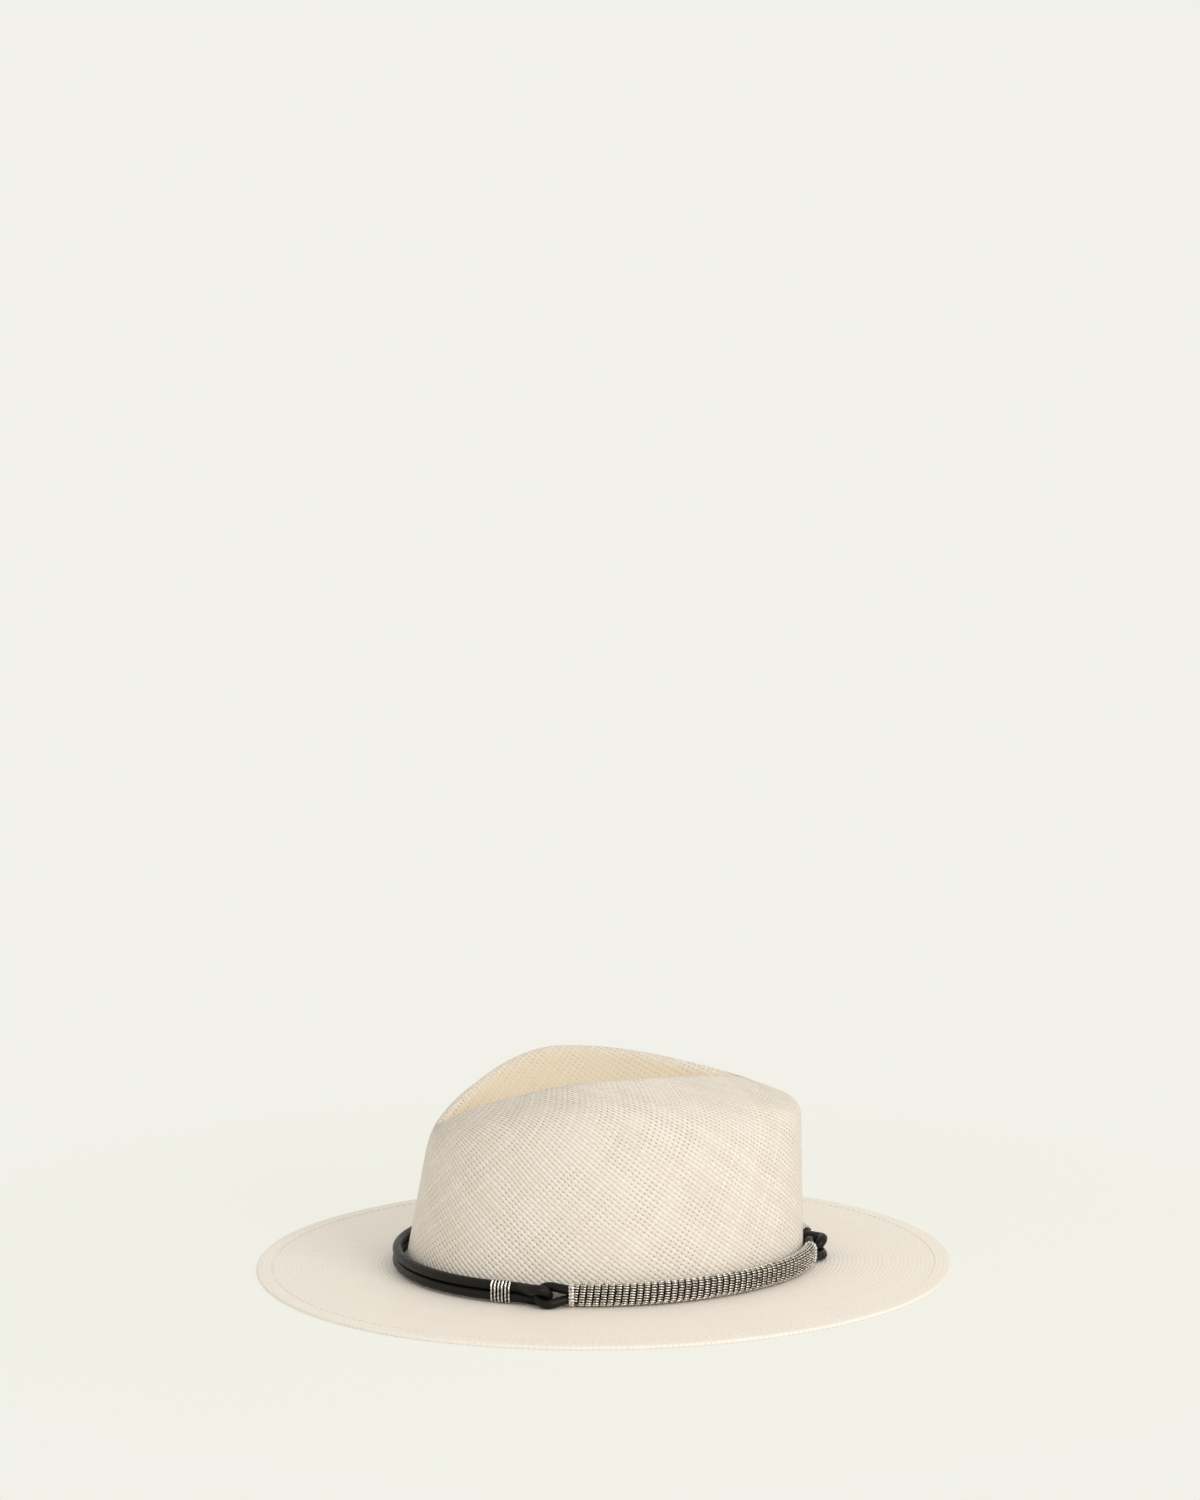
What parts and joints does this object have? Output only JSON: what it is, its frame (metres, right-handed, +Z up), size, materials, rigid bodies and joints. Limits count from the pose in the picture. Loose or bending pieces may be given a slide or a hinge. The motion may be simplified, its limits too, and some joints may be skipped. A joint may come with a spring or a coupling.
{
  "type": "panama hat",
  "caption": "Wide flat-brimmed woven straw hat with a teardrop crown, an inner sweatband and a lift-off band of linked leather cords, one wrapped in silver chain.",
  "frame": {"origin": "middle of the head opening, on the surface that the brim's edge rests on", "axes": "+X towards the back of the hat, +Y towards the wearer's right, +Z up"},
  "size_m": [0.353, 0.318, 0.1047],
  "materials": {
    "straw": "woven, ivory",
    "thread": "ivory sewing thread",
    "sweatband_leather": "smooth, tan",
    "reed": "matte",
    "ribbon": "ribbed ribbon",
    "black_leather": "round cord, softly polished",
    "silver": "oxidised silver"
  },
  "bodies": {
    "hat": {"straw_crown": "straw", "straw_brim": "straw", "brim_hem": "straw", "hem_stitching": "thread", "sweatband": "sweatband_leather", "sweatband_stitching": "thread", "sweatband_reed": "reed", "sweatband_bow": "ribbon"},
    "hatband": {"leather_cord": "black_leather", "core_cord": "black_leather", "chain_wrap": "silver", "front_end_ring": "silver", "back_end_ring": "silver", "front_binding": "silver", "back_binding": "silver"}
  },
  "joints": [
    {"name": "band_lift", "type": "slide", "parent": "hat", "child": "hatband", "axis": [0, 0, 1], "range_m": [0, 0.12]}
  ]
}
